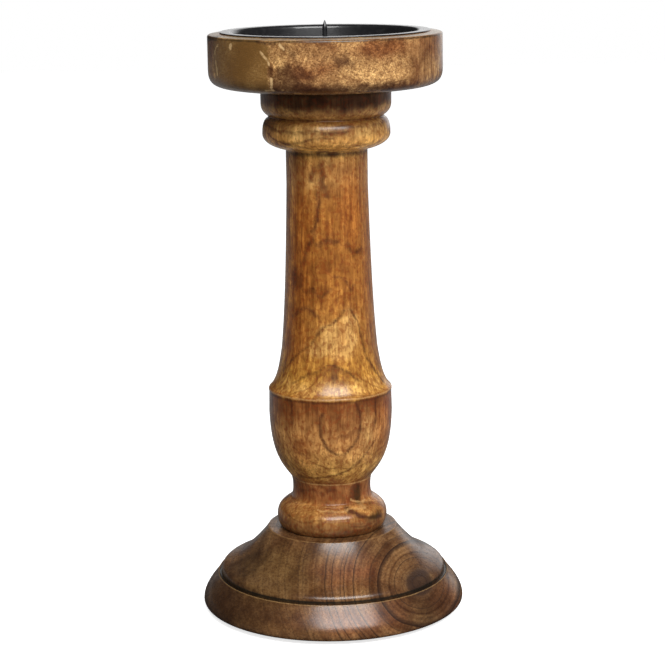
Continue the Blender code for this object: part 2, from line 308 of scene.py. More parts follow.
def hoop(radius_0, height_0, half_width):
    """An even line right round the piece."""
    def distance(azimuth, height, radius, level):
        return np.hypot(radius - radius_0, level - height_0) - half_width
    return distance


def wandering(place):
    """How far the marks stray there, in metres: slow bends with small zigzags on them."""
    return (noise.noise_vector(place * 90) * 1.3 + noise.noise_vector(place * 400) * 0.6) * MM


def keep_marks(piece, families):
    """Store on the mesh how far each point is from the nearest mark of each family."""
    co = np.array([v.co for v in piece.data.vertices]) / MM
    stray = np.array([wandering(v.co) for v in piece.data.vertices]) / MM
    radius = np.hypot(co[:, 0], co[:, 1])
    azimuth = np.degrees(np.arctan2(co[:, 0], -co[:, 1]) + stray[:, 0] / radius.clip(1.0))
    level = co[:, 2]
    height = level + stray[:, 2]
    for family, marks in families.items():
        nearest = np.full(len(co), FAR)
        for mark in marks:
            nearest = np.minimum(nearest, mark(azimuth, height, radius, level))
        kept = piece.data.attributes.new(family, "FLOAT", "POINT")
        kept.data.foreach_set("value", nearest.astype(np.float32))


# ---------------------------------------------------------------- materials

def colour(red, green, blue):
    """Linear colour from 0-255 display values."""
    shares = [c / 255 for c in (red, green, blue)]
    return tuple(((c + 0.055) / 1.055) ** 2.4 if c > 0.04 else c / 12.92 for c in shares)


class Nodes:
    """A shader node tree, with short calls that add to it."""

    def __init__(self, tree):
        self.tree = tree

    def add(self, kind, **settings):
        made = self.tree.nodes.new("ShaderNode" + kind)
        for key, value in settings.items():
            setattr(made, key, value)
        return made

    def feed(self, socket, value):
        if isinstance(value, bpy.types.NodeSocket):
            self.tree.links.new(value, socket)
        elif isinstance(value, (tuple, list)) and len(socket.default_value) == 4 and len(value) == 3:
            socket.default_value = (*value, 1.0)
        else:
            socket.default_value = value

    def math(self, operation, *values, clamp=False):
        made = self.add("Math", operation=operation, use_clamp=clamp)
        for socket, value in zip(made.inputs, values):
            self.feed(socket, value)
        return made.outputs[0]

    def vector(self, operation, *values, scale=None):
        made = self.add("VectorMath", operation=operation)
        for socket, value in zip(made.inputs, values):
            self.feed(socket, value)
        if scale is not None:
            self.feed(made.inputs["Scale"], scale)
        return made.outputs["Value" if operation in ("LENGTH", "DISTANCE", "DOT_PRODUCT") else "Vector"]

    def noise(self, place, scale=1.0, detail=2.0, roughness=0.5, distortion=0.0, output=0):
        """Noise about 0.5; a scale of 1 repeats about every millimetre. Output 1 is a vector."""
        made = self.add("TexNoise", noise_dimensions="3D")
        names = ("Vector", "Scale", "Detail", "Roughness", "Distortion")
        for name, value in zip(names, (place, scale, detail, roughness, distortion)):
            self.feed(made.inputs[name], value)
        return made.outputs[output]

    def noise_along(self, value, scale=1.0, detail=1.0):
        """Noise about 0.5 that changes along one number only."""
        made = self.add("TexNoise", noise_dimensions="1D")
        self.feed(made.inputs["W"], self.math("MULTIPLY", value, scale))
        self.feed(made.inputs["Scale"], 1.0)
        self.feed(made.inputs["Detail"], detail)
        return made.outputs[0]

    def band(self, value, start, stop, low=0.0, high=1.0, kind="SMOOTHSTEP"):
        """Step from low to high, with eased ends, as the value goes from start to stop."""
        made = self.add("MapRange", interpolation_type=kind)
        for socket, number in zip(made.inputs, (value, start, stop, low, high)):
            self.feed(socket, number)
        return made.outputs[0]

    def slope(self, value, start, stop, low=0.0, high=1.0):
        """The same without the easing."""
        return self.band(value, start, stop, low, high, "LINEAR")

    def mix(self, share, first, second):
        """Two colours mixed; inputs 6 and 7 and output 2 are the node's colour sockets."""
        made = self.add("Mix", data_type="RGBA")
        self.feed(made.inputs[0], share)
        self.feed(made.inputs[6], first)
        self.feed(made.inputs[7], second)
        return made.outputs[2]

    def ramp(self, value, stops, low=0.0, high=1.0):
        """Colours at values between low and high."""
        share = self.slope(value, low, high)
        made = self.add("ValToRGB")
        made.color_ramp.interpolation = "EASE"
        elements = made.color_ramp.elements
        while len(elements) < len(stops):
            elements.new(0.5)
        for element, (at, tint) in zip(elements, sorted(stops)):
            element.position = (at - low) / (high - low)
            element.color = (*tint, 1.0)
        self.feed(made.inputs[0], share)
        return made.outputs[0]


class Sky(Nodes):
    """The world's nodes."""

    def __init__(self, tree):
        super().__init__(tree)
        self.direction = self.add("TexCoord").outputs["Generated"]


class Look(Nodes):
    """One procedural material."""

    def __init__(self, name):
        self.material = bpy.data.materials.new(name)
        self.material.use_nodes = True
        super().__init__(self.material.node_tree)
        self.shader = self.tree.nodes["Principled BSDF"]
        place = self.add("TexCoord").outputs["Object"]
        self.place = self.vector("SCALE", place, scale=1 / MM)

    def family(self, name):
        return self.add("Attribute", attribute_name=name, attribute_type="GEOMETRY").outputs["Fac"]

    def marked(self, under, family, tint, share=1.0, soft=0.5, jitter=1.0, grit=0.5):
        """Paint a family of marks over a colour, with an edge that wanders by the jitter, in mm."""
        wander = self.math("MULTIPLY_ADD", self.noise(self.place, grit, 3.0), 2 * jitter, -jitter)
        inside = self.band(self.math("ADD", self.family(family), wander), soft, -soft, 0.0, share)
        return self.mix(inside, under, tint)

    def bump(self, height, depth):
        """Surface relief: a height of 1 stands that many mm proud."""
        made = self.add("Bump")
        self.feed(made.inputs["Strength"], 1.0)
        self.feed(made.inputs["Distance"], depth * MM)
        self.feed(made.inputs["Height"], height)
        self.feed(self.shader.inputs["Normal"], made.outputs[0])

    def stained(self, under, value, amount, tint):
        """Paint a colour where the value is high, at most by the amount."""
        return self.mix(self.math("MULTIPLY", value, amount), under, tint)

    def set(self, **values):
        """Set or link the shader's sockets, named with underscores for spaces."""
        for key, value in values.items():
            self.feed(self.shader.inputs[key.replace("_", " ")], value)


class Wood(Look):
    """Varnished sheesham-like wood with rings round a pith, fibres and pores along the grain."""

    def __init__(self, name, grain, pith, pitch, warp):
        """The grain turns the grain's direction to Z. The pith is a point, the pitch the width
        of a ring, and the warp how far the rings stray, all in mm."""
        super().__init__(name)
        self.grain = self.turned_place(grain)
        centre = Vector(pith)
        centre.rotate(grain)
        slow = self.vector("MULTIPLY", self.grain, (1.0, 1.0, 0.35))
        moved = self.vector("SUBTRACT", self.noise(slow, 0.07, 3.0, output=1), (0.5, 0.5, 0.5))
        moved = self.vector("SCALE", moved, scale=2 * warp)
        warped = self.vector("ADD", self.grain, moved)
        across = self.vector("MULTIPLY", self.vector("SUBTRACT", warped, tuple(centre)), (1.0, 1.0, 0.0))
        self.depth = self.vector("LENGTH", across)
        self.pitch = pitch

    def turned_place(self, grain):
        made = self.add("Mapping", vector_type="POINT")
        self.feed(made.inputs["Vector"], self.place)
        made.inputs["Rotation"].default_value = grain
        return made.outputs[0]

    def rings(self, sharp=0.72):
        """1 on the dark side of each ring, falling to 0; spacing and depth vary from ring to ring."""
        uneven = self.math("MULTIPLY", self.noise_along(self.depth, 0.11, 2.0), 3.0)
        turn = self.math("ADD", self.math("DIVIDE", self.depth, self.pitch), uneven)
        part = self.math("FRACT", turn)
        rise = self.band(part, sharp, 0.96)
        fall = self.band(part, 1.0, 0.97)
        strength = self.band(self.noise_along(self.math("FLOOR", turn), 0.73, 0.0), 0.3, 0.7, 0.25, 1.0)
        return self.math("MULTIPLY", self.math("MULTIPLY", rise, fall), strength)

    def layers(self):
        """Slow light and dark bands that follow the rings."""
        return self.noise_along(self.depth, 0.9 / self.pitch, 3.0)

    def fibres(self, fine=1.6, length=14.0):
        stretched = self.vector("MULTIPLY", self.grain, (fine, fine, 1 / length))
        return self.noise(stretched, 1.0, 3.0, 0.6)

    def pores(self, fine=1.15, length=3.6, least=0.57, most=0.68):
        """1 in the middle of each pore: a short dark dash along the grain, a dot on end grain."""
        stretched = self.vector("MULTIPLY", self.grain, (fine, fine, 1 / length))
        return self.band(self.noise(stretched, 1.0, 1.0, 0.5), least, most)

    def mottle(self, scale=0.12, detail=3.0):
        return self.noise(self.place, scale, detail, 0.55)

    def height(self):
        made = self.add("SeparateXYZ")
        self.feed(made.inputs[0], self.place)
        return made.outputs[2]

    def toned(self, under, value, amount):
        """Darker and redder where the noise value is low, lighter and yellower where it is high."""
        dark = (1 - amount, 1 - 1.22 * amount, 1 - 1.34 * amount)
        light = (1 + amount, 1 + 1.22 * amount, 1 + 1.34 * amount)
        tint = self.mix(self.slope(value, 0.34, 0.66), dark, light)
        return self.vector("MULTIPLY", under, tint)

    def varnished(self, base, pores, relief=0.05):
        """Finish with a satin varnish that sinks into the pores."""
        wear_and_sheen = self.noise(self.place, 0.35, 3.0)
        rough = self.slope(wear_and_sheen, 0.3, 0.7, 0.3, 0.4)
        self.set(Base_Color=base, Roughness=self.math("MULTIPLY_ADD", pores, 0.12, rough))
        self.set(Specular_IOR_Level=0.1, Coat_Weight=0.85, Coat_Roughness=0.24, Coat_IOR=1.5)
        waves = self.noise(self.place, 0.22, 2.0)
        lathe = self.noise(self.vector("MULTIPLY", self.place, (0.05, 0.05, 1.7)), 1.0, 2.0)
        proud = self.math("MULTIPLY_ADD", waves, 1.6, self.math("MULTIPLY", lathe, 0.25))
        self.bump(self.math("SUBTRACT", proud, pores), relief)


def tipped(degrees):
    """Rotation about X that turns the direction of a piece's grain to Z."""
    return Matrix.Rotation(math.radians(degrees), 3, "X").to_euler()


def column_look():
    """Amber wood: grain along the axis, a figure of arches on the flare and a U on the urn."""
    wood = Wood("column_wood", tipped(1.5), pith=(-2.6, 9.6, 0.0), pitch=3.1, warp=2.4)
    lines = wood.rings(0.7)
    pores = wood.pores(0.9, 2.6, 0.54, 0.66)
    wander = wood.math("MULTIPLY_ADD", wood.mottle(0.09), 9.0, -4.5)
    place = wood.math("ADD", wood.height(), wander)
    # Colours up the column, stage by stage. Besides the wood's own tones, the stops paint light and shade:
    # painted shade on the top of the collar under the dish, and painted light, as thrown up from the floor,
    # on the undersides of the torus, the collar and the urn.
    base = wood.ramp(place, [
        (FOOT_TOP + 1.0, colour(118, 78, 42)),
        (FOOT_TOP + 5.0, colour(148, 102, 56)),
        (BEAD_TOP - 3.0, colour(160, 110, 55)),
        (BEAD_TOP + 3.0, colour(140, 86, 44)),
        (NECK_TOP - 1.0, colour(146, 92, 48)),
        (NECK_TOP + 6.0, colour(214, 160, 84)),
        (SHOULDER - 20.0, colour(184, 128, 70)),
        (SHOULDER - 2.0, colour(126, 74, 34)),
        (SHOULDER + 3.0, colour(180, 125, 50)),
        (SHOULDER + 25.0, colour(160, 106, 46)),
        (SHOULDER + 45.0, colour(156, 98, 40)),
        (SHAFT_TOP - 28.0, colour(160, 102, 43)),
        (SHAFT_TOP - 8.0, colour(172, 119, 62)),
        (SHAFT_TOP + 4.0, colour(234, 172, 88)),
        (SHAFT_TOP + 9.0, colour(190, 142, 80)),
        (GROOVE - 1.0, colour(150, 102, 50)),
        (GROOVE + 3.5, colour(196, 142, 78)),
        (DISH_BOTTOM - 4.5, colour(104, 68, 38)),
    ], FOOT_TOP, DISH_BOTTOM)
    # Pale cream patches in the wood's figure, and painted highlights: soft pale bands across the front just
    # above the shoulder and on the torus.
    base = wood.marked(base, "pale_and_highlight", colour(216, 168, 98), 0.55, 3.0, 3.0, 0.25)
    base = wood.marked(base, "warm", colour(164, 90, 32), 0.4, 2.5, 2.5, 0.35)
    base = wood.marked(base, "shade", colour(84, 42, 24), 0.72, 1.1, 1.6, 0.55)
    base = wood.toned(base, wood.layers(), 0.26)
    base = wood.toned(base, wood.fibres(1.0, 12.0), 0.25)
    base = wood.toned(base, wood.fibres(0.4, 26.0), 0.2)
    base = wood.toned(base, wood.mottle(0.2, 5.0), 0.3)
    base = wood.stained(base, lines, 0.5, colour(96, 48, 22))
    flecks = wood.pores(0.6, 1.7, 0.53, 0.63)
    base = wood.stained(base, flecks, 0.4, colour(132, 58, 18))
    fewer = wood.band(place, SHAFT_TOP - 2.0, SHAFT_TOP + 3.0, 0.4, 0.16)
    base = wood.stained(base, pores, fewer, colour(112, 52, 18))
    # Dark figure lines in the grain; the hoops among them are painted shade in the groove and the creases.
    base = wood.marked(base, "line", colour(66, 30, 16), 0.84, 0.7, 0.5, 0.5)
    # Painted shade: dark bands right round under the torus and under the dish, with dark spots on the neck
    # and the bead.
    base = wood.marked(base, "shade_and_dark_marks", colour(54, 38, 14), 0.7, 1.0, 0.8, 0.4)
    base = wood.marked(base, "edge", colour(206, 160, 100), 0.6, 0.35, 0.5, 1.2)
    wood.varnished(base, pores)
    return wood.material


def column_marks():
    flare_left = (-18, 125), (-27, 121.5), (-40, 117), (-65, 109)
    back_right = (190, 131), (203, 116), (214, 108)
    return {
        "line": [
            stroke(0.3, (-10, 184), (-13, 176), (-22, 171)),
            stroke(0.45, (20, 138), (10, 134.5), (2, 131), (-6, 129.5), *flare_left),
            stroke(0.4, (27, 138), (36, 133), (42, 124), (49, 115), (69, 103)),
            stroke(0.35, (-43, 106), (-28, 109), (-13, 111), (1, 113.5), (11, 112.5), (25, 110), (36, 106)),
            stroke(0.5, (24, 99), (27, 92), (27.5, 86), (25, 81.5), (20, 78), (14, 75.6), (7, 75.4)),
            stroke(0.55, (7, 75.4), (0, 77.2), (-6, 80), (-9.5, 84), (-10, 88), (-7, 94)),
            stroke(0.4, (46, 98), (47, 87)),
            stroke(0.4, (-37, 97), (-38, 88)),
            stroke(0.4, (47, 80), (33, 71), (20, 67), (5, 64.5), (-25, 63), (-49, 63)),
            stroke(0.9, (19, 48.5), (32, 46.5), (62, 43)),
            stroke(0.15, (-66, 212.5), (-40, 209.8), (-14, 210.6), (6, 212)),
            stroke(0.1, (-80, 216), (-45, 215), (-5, 214), (20, 214.6)),
            stroke(0.1, (-60, BEAD_TOP - 4.0), (-34, BEAD_TOP - 5.5), (-12, BEAD_TOP - 4.8)),
            stroke(0.15, (16, BEAD_TOP - 7.5), (36, BEAD_TOP - 8.5), (60, BEAD_TOP - 7.0)),
            stroke(0.45, (148, 106), (160, 115), (172, 128), (181, 137), *back_right),
            stroke(0.4, (166, 108), (179, 113), (193, 109)),
            stroke(0.45, (157, 97), (161, 86), (171, 78), (184, 75), (195, 80), (202, 90), (204, 98)),
            stroke(0.35, (176, 158), (184, 170), (182, 182), (190, 193)),
            stroke(0.35, (98, 146), (106, 158), (103, 172), (110, 186)),
            stroke(0.4, (86, 98), (90, 86), (101, 78), (112, 84), (115, 97)),
            stroke(0.4, (246, 112), (256, 126), (262, 140), (258, 158), (266, 176)),
            stroke(0.4, (238, 97), (244, 84), (256, 77), (268, 83), (271, 97)),
            # Painted shade: dark lines under the shoulder's edge, in the groove and at the foot of the
            # neck.
            hoop(URN_RADIUS, SHOULDER - 1.3, 0.2),
            hoop(GROOVE_RADIUS, GROOVE, 0.2),
            hoop(NECK_RADIUS, BEAD_TOP + 0.2, 0.0),
        ],
        "shade": [
            stroke(1.2, (-18, 198), (-22, 193)),
            stroke(1.0, (-8, 199), (-6, 192), (2, 187)),
            stroke(0.9, (-4, 194), (-11, 185), (-14, 176), (-20, 170), (-29, 163), (-35, 155), (-39, 146)),
            stroke(0.7, (24, 166), (33, 161), (52, 163)),
            stroke(0.3, (-80, 216), (-45, 214.5), (-5, 213.2), (20, 214.2)),
            stroke(0.3, (-62, 212), (-38, 209.5), (-12, 210.4)),
            stroke(0.3, (10, 216.6), (40, 215.8), (75, 216.8)),
            spot(-50, 150, 2, 6),
            stroke(0.4, (-52, 133), (-38, 136.5), (-22, 137), (-14, 134)),
            stroke(0.4, (-36, 143), (-20, 147), (-8, 143), (4, 146)),
            stroke(0.4, (8, 152), (22, 150), (30, 146), (40, 149)),
            stroke(0.5, (-60, 54), (-30, 56.5), (-12, 54.5)),
            stroke(0.4, (20, 43.5), (40, 42), (62, 44)),
            stroke(0.4, (14, 40), (34, 39.4), (60, 41)),
            spot(150, 90, 8, 12),
            spot(215, 170, 6, 20),
            stroke(1.0, (-14, 165), (-4, 167), (12, 166)),
            stroke(1.0, (-45, 135), (-30, 137.5), (-17, 135)),
            spot(6, 110.2, 2.2, 3.2),
            spot(0, 58, 2.0, 2.2),
            spot(38, 55, 3.0, 5.0),
            stroke(1.0, (-8, 205), (14, 205)),
        ],
        "warm": [
            stroke(0.8, (15, 131), (17, 125), (16, 121), (9, 115)),
            spot(-40, 160, 5, 34),
            spot(-50, 124, 8, 12),
            spot(34, 180, 5, 16),
            spot(-30, 74, 5, 8),
            spot(-60, 212, 8, 3),
            spot(190, 150, 9, 30),
            spot(68, SHOULDER - 15.0, 8, 15),
        ],
        "pale_and_highlight": [
            spot(12, 124, 8, 8),
            spot(24, 132, 4, 5),
            spot(-6, 121, 6, 3),
            spot(170, 120, 8, 12),
            spot(240, 205, 5, 9),
            # Painted highlight: a soft pale band across the front, just above the shoulder's edge.
            spot(0, 104, 22, 2.5),
            spot(0, 201, 2, 2.5),
            spot(-17, 192, 4, 1.5),
            spot(36, 84, 2.5, 6),
            # Painted highlight: a soft pale band across the front of the torus.
            spot(0, 213, 16, 2.5),
        ],
        "shade_and_dark_marks": [
            # Painted shade under the torus and under the dish; dark spots on the neck and the bead.
            hoop(SHAFT_RADIUS, SHAFT_TOP - 1.2, 0.7),
            hoop(COLLAR_RADIUS, DISH_BOTTOM, 1.6),
            spot(42, NECK_TOP - 6.0, 2.5, 4),
            spot(52, BEAD_TOP - 5.0, 5, 1.6),
        ],
        "edge": [
            hoop(SHOULDER_RADIUS, SHOULDER, 0.25),
            hoop(NECK_RADIUS + 0.4, NECK_TOP, 0.2),
            hoop(NECK_RADIUS + 1.3, BEAD_TOP, 0.15),
            stroke(0.2, (-18, BEAD_TOP - 1.0), (12, BEAD_TOP - 1.3), (46, BEAD_TOP - 0.6)),
            stroke(0.3, (28, BEAD_TOP + 2.0), (40, BEAD_TOP + 0.6), (58, BEAD_TOP + 0.2)),
        ],
    }


def dish_look():
    """Golden-brown end grain: speckled with pores at the front, straight grain at the sides."""
    wood = Wood("dish_wood", tipped(-90), pith=(-20.0, 0.0, 210.0), pitch=7.0, warp=5.0)
    pores = wood.pores(1.5, 6.0, 0.5, 0.64)
    patchy = wood.mottle(0.055, 4.0)
    base = wood.mix(wood.band(patchy, 0.38, 0.6), colour(120, 77, 42), colour(194, 148, 92))
    base = wood.marked(base, "warm", colour(146, 86, 46), 0.5, 3.0, 3.0, 0.2)
    # Pale patches in the end grain.
    base = wood.marked(base, "pale_and_highlight", colour(206, 158, 100), 0.55, 3.5, 4.0, 0.2)
    base = wood.marked(base, "shade", colour(66, 34, 20), 0.82, 2.5, 4.0, 0.25)
    base = wood.toned(base, wood.mottle(0.25, 4.0), 0.25)
    upright = wood.noise(wood.vector("MULTIPLY", wood.place, (0.9, 0.9, 0.06)), 1.0, 4.0, 0.6)
    straight = wood.mix(0.5, base, colour(112, 66, 34))
    straight = wood.toned(wood.toned(straight, upright, 0.5), wood.mottle(0.6, 3.0), 0.25)
    base = wood.toned(base, wood.fibres(0.95, 20.0), 0.36)
    base = wood.toned(base, wood.fibres(1.8, 20.0), 0.3)
    base = wood.stained(base, wood.rings(0.6), 0.2, colour(100, 60, 32))
    base = wood.stained(base, pores, 0.5, colour(86, 50, 26))
    base = wood.marked(base, "straight", straight, 1.0, 5.0, 4.0, 0.2)
    base = wood.marked(base, "filler", colour(122, 88, 44), 0.82, 0.7, 1.5, 0.3)
    base = wood.marked(base, "pale", colour(222, 184, 130), 0.9, 0.3, 0.4, 1.0)
    base = wood.marked(base, "line", colour(58, 34, 20), 0.9, 0.4, 0.5, 0.8)
    # The rim's top, paler and greyer: painted sheen over the lip's own tan.
    base = wood.marked(base, "wear_and_sheen", colour(150, 136, 108), 0.6, 0.6, 0.5, 0.4)
    # A dark band round the wall just under the rim's rounded edge, and a dark streak on the rim at the
    # left.
    base = wood.marked(base, "shade_and_dark_marks", colour(44, 36, 24), 0.8, 0.4, 0.5, 0.3)
    wood.varnished(base, pores)
    return wood.material


def dish_marks():
    return {
        "filler": [spot(-47.5, 242.5, 17.5, 12, 5)],
        "pale": [
            stroke(0.45, (-62, 251), (-66, 247), (-65, 242), (-64, 238)),
            stroke(0.45, (-32, 249), (-29, 246), (-26.5, 243)),
            stroke(0.55, (-26, 237.5), (-26.5, 234.5)),
            stroke(0.45, (-22, 252.5), (-19.5, 249.5)),
            spot(-51, 250.5, 0.9, 1.6),
            stroke(0.25, (-31, 233.6), (-26, 233.6)),
        ],
        "line": [
            spot(-45, 249, 0.5, 0.5),
            stroke(0.5, (-33, 253.2), (-24, 252.8)),
        ],
        "shade": [
            spot(-17, 239.5, 7, 5),
            spot(-24, 236, 4, 6),
            spot(-16, 236, 9, 4),
            spot(2, 234, 40, 1.5),
            spot(9, 245, 4, 2),
            stroke(0.8, (-20, 251), (-15, 248), (-13, 244)),
            stroke(1.5, (-90, 234), (-60, 233), (-20, 233), (90, 233)),
            spot(120, 244, 20, 5),
        ],
        "straight": [spot(88, 242, 38, 16, 4), spot(-96, 242, 26, 16, 4)],
        "shade_and_dark_marks": [
            hoop(DISH_RADIUS, DISH_TOP - RIM_FALL - 0.5, 0.35),
            stroke(0.9, (-84, 253), (-64, 253)),
        ],
        # Painted sheen on the top of the rim.
        "wear_and_sheen": [hoop(DISH_RADIUS - 2.6, DISH_TOP - 0.2, 1.8)],
        "warm": [
            spot(34, 250, 20, 2.5),
            spot(-26, 241, 2.5, 2.5),
            spot(-8, 243, 8, 5),
            spot(-140, 245, 30, 6),
        ],
        "pale_and_highlight": [
            spot(-9, 247, 9, 4),
            spot(36, 241, 8, 6),
            spot(12, 238, 14, 3),
            spot(180, 243, 26, 7),
        ],
    }


def foot_look():
    """Dark brown end grain with strong growth rings round a pith on the right of the skirt."""
    wood = Wood("foot_wood", tipped(-71), pith=(37.6, -31.6, 19.0), pitch=3.4, warp=0.9)
    lines = wood.rings(0.62)
    pores = wood.pores(1.5, 6.0, 0.54, 0.68)
    base = wood.mix(wood.band(wood.mottle(0.06, 4.0), 0.38, 0.62), colour(94, 62, 36), colour(124, 88, 53))
    base = wood.marked(base, "olive", colour(88, 66, 34), 0.5, 5.0, 4.0, 0.15)
    base = wood.marked(base, "warm", colour(128, 70, 38), 0.5, 4.0, 3.0, 0.15)
    base = wood.marked(base, "shade", colour(46, 30, 18), 0.62, 5.0, 4.0, 0.12)
    near = wood.band(wood.depth, 34.0, 64.0, 1.0, 0.25)
    base = wood.mix(near, base, wood.toned(base, wood.layers(), 0.38))
    base = wood.toned(base, wood.mottle(0.2, 4.0), 0.2)
    base = wood.toned(base, wood.fibres(1.0, 20.0), 0.24)
    base = wood.stained(base, lines, near, colour(44, 26, 17))
    core = wood.band(wood.depth, 7.5, 5.0)
    base = wood.stained(base, core, 0.85, colour(54, 38, 31))
    base = wood.stained(base, pores, 0.35, colour(48, 29, 17))
    # Painted shade: dark lines in the quirk and on the ledge round the foot of the column.
    base = wood.marked(base, "line", colour(26, 24, 18), 0.9, 0.35, 0.2, 0.8)
    base = wood.marked(base, "edge", colour(176, 138, 88), 0.6, 0.3, 0.35, 1.0)
    wood.varnished(base, pores)
    return wood.material


def foot_marks():
    return {
        "line": [
            # Painted shade in the quirk and on the ledge under the bead.
            hoop(SKIRT_RADIUS + 0.5, BORDER_TOP - QUIRK_DEPTH, 0.6),
            hoop(SKIRT_RADIUS, BORDER_TOP + 0.4, 0.75),
            hoop(24.6, FOOT_TOP, 0.3),
        ],
        "edge": [hoop(BORDER_RADIUS + 0.1, BORDER_TOP, 0.3), hoop(LEDGE_RADIUS, FOOT_TOP - 0.1, 0.05)],
        "olive": [spot(-40, 24, 20, 9)],
        "warm": [spot(10, 10, 20, 5), spot(10, 26, 12, 4), spot(62, 9, 12, 7), spot(160, 20, 24, 8)],
        "shade": [spot(-62, 9, 30, 9), spot(52, 9, 16, 8), spot(-70, 22, 10, 8), spot(200, 12, 20, 6)],
    }


def enamel_look():
    """Black stove enamel on pressed steel: nearly smooth, with a faint orange-peel ripple."""
    look = Look("black_enamel")
    ripple = look.noise(look.place, 1.1, 2.0)
    dust = look.band(look.noise(look.place, 0.5, 4.0), 0.5, 0.75)
    look.set(Base_Color=look.mix(dust, colour(24, 24, 26), colour(40, 40, 41)))
    look.set(Roughness=look.slope(look.noise(look.place, 0.2, 3.0), 0.3, 0.7, 0.34, 0.46))
    look.set(IOR=1.5, Coat_Weight=0.8, Coat_Roughness=0.12)
    look.bump(ripple, 0.02)
    return look.material


def zinc_look():
    """Zinc-plated steel with a cloudy passivated film."""
    look = Look("zinc_steel")
    cloud = look.noise(look.place, 0.9, 4.0, 0.6)
    look.set(Base_Color=look.mix(cloud, colour(168, 166, 156), colour(204, 204, 206)), Metallic=1.0)
    look.set(Roughness=look.slope(cloud, 0.3, 0.7, 0.26, 0.42))
    look.bump(look.noise(look.place, 4.0, 2.0), 0.01)
    return look.material


def felt_look():
    """Black-brown needle felt."""
    look = Look("felt")
    hair = look.noise(look.vector("MULTIPLY", look.place, (1.0, 1.0, 2.5)), 2.2, 5.0, 0.7, 1.2)
    look.set(Base_Color=look.mix(hair, colour(26, 23, 21), colour(66, 60, 55)))
    look.set(Roughness=0.95, Sheen_Weight=0.5, Sheen_Roughness=0.5)
    look.bump(hair, 0.25)
    return look.material


# ---------------------------------------------------------------- pieces

def foot_outline():
    """Mortise, ledge, skirt, quirk and rounded border; from below, the counterbored screw hole."""
    mortise = TENON_RADIUS + GAP
    mortise_floor = FOOT_TOP - FOOT_TENON - MORTISE_SPARE
    skirt_top = (LEDGE_RADIUS + 0.2, FOOT_TOP - 0.4)
    skirt_end = (SKIRT_RADIUS, BORDER_TOP + 0.8)
    quirk_floor = BORDER_TOP - QUIRK_DEPTH
    border_bottom = (FOOT_RADIUS, FOOT_BOTTOM + FOOT_EDGE)
    border_handles = (52.0, BORDER_TOP - 2.2), (FOOT_RADIUS, BORDER_TOP - 7.2)
    return [
        (PILOT_RADIUS, mortise_floor),
        (mortise, mortise_floor),
        (mortise, FOOT_TOP),
        (LEDGE_RADIUS, FOOT_TOP),
        *curve(skirt_top, (30.5, FOOT_TOP - 3.2), (35.6, FOOT_TOP - 9.0), SKIRT_MIDDLE),
        *curve(SKIRT_MIDDLE, (45.4, BORDER_TOP + 4.3), (SKIRT_RADIUS, BORDER_TOP + 4.2), skirt_end)[1:],
        (SKIRT_RADIUS, quirk_floor),
        (BORDER_RADIUS - 0.6, quirk_floor),
        *curve((BORDER_RADIUS, BORDER_TOP), *border_handles, border_bottom),
        *arc((FOOT_RADIUS - FOOT_EDGE, FOOT_BOTTOM + FOOT_EDGE), FOOT_EDGE, -10, -90),
        (COUNTERBORE_RADIUS, FOOT_BOTTOM),
        (COUNTERBORE_RADIUS, FOOT_BOTTOM + COUNTERBORE_DEPTH),
        (PILOT_RADIUS, FOOT_BOTTOM + COUNTERBORE_DEPTH),
    ]


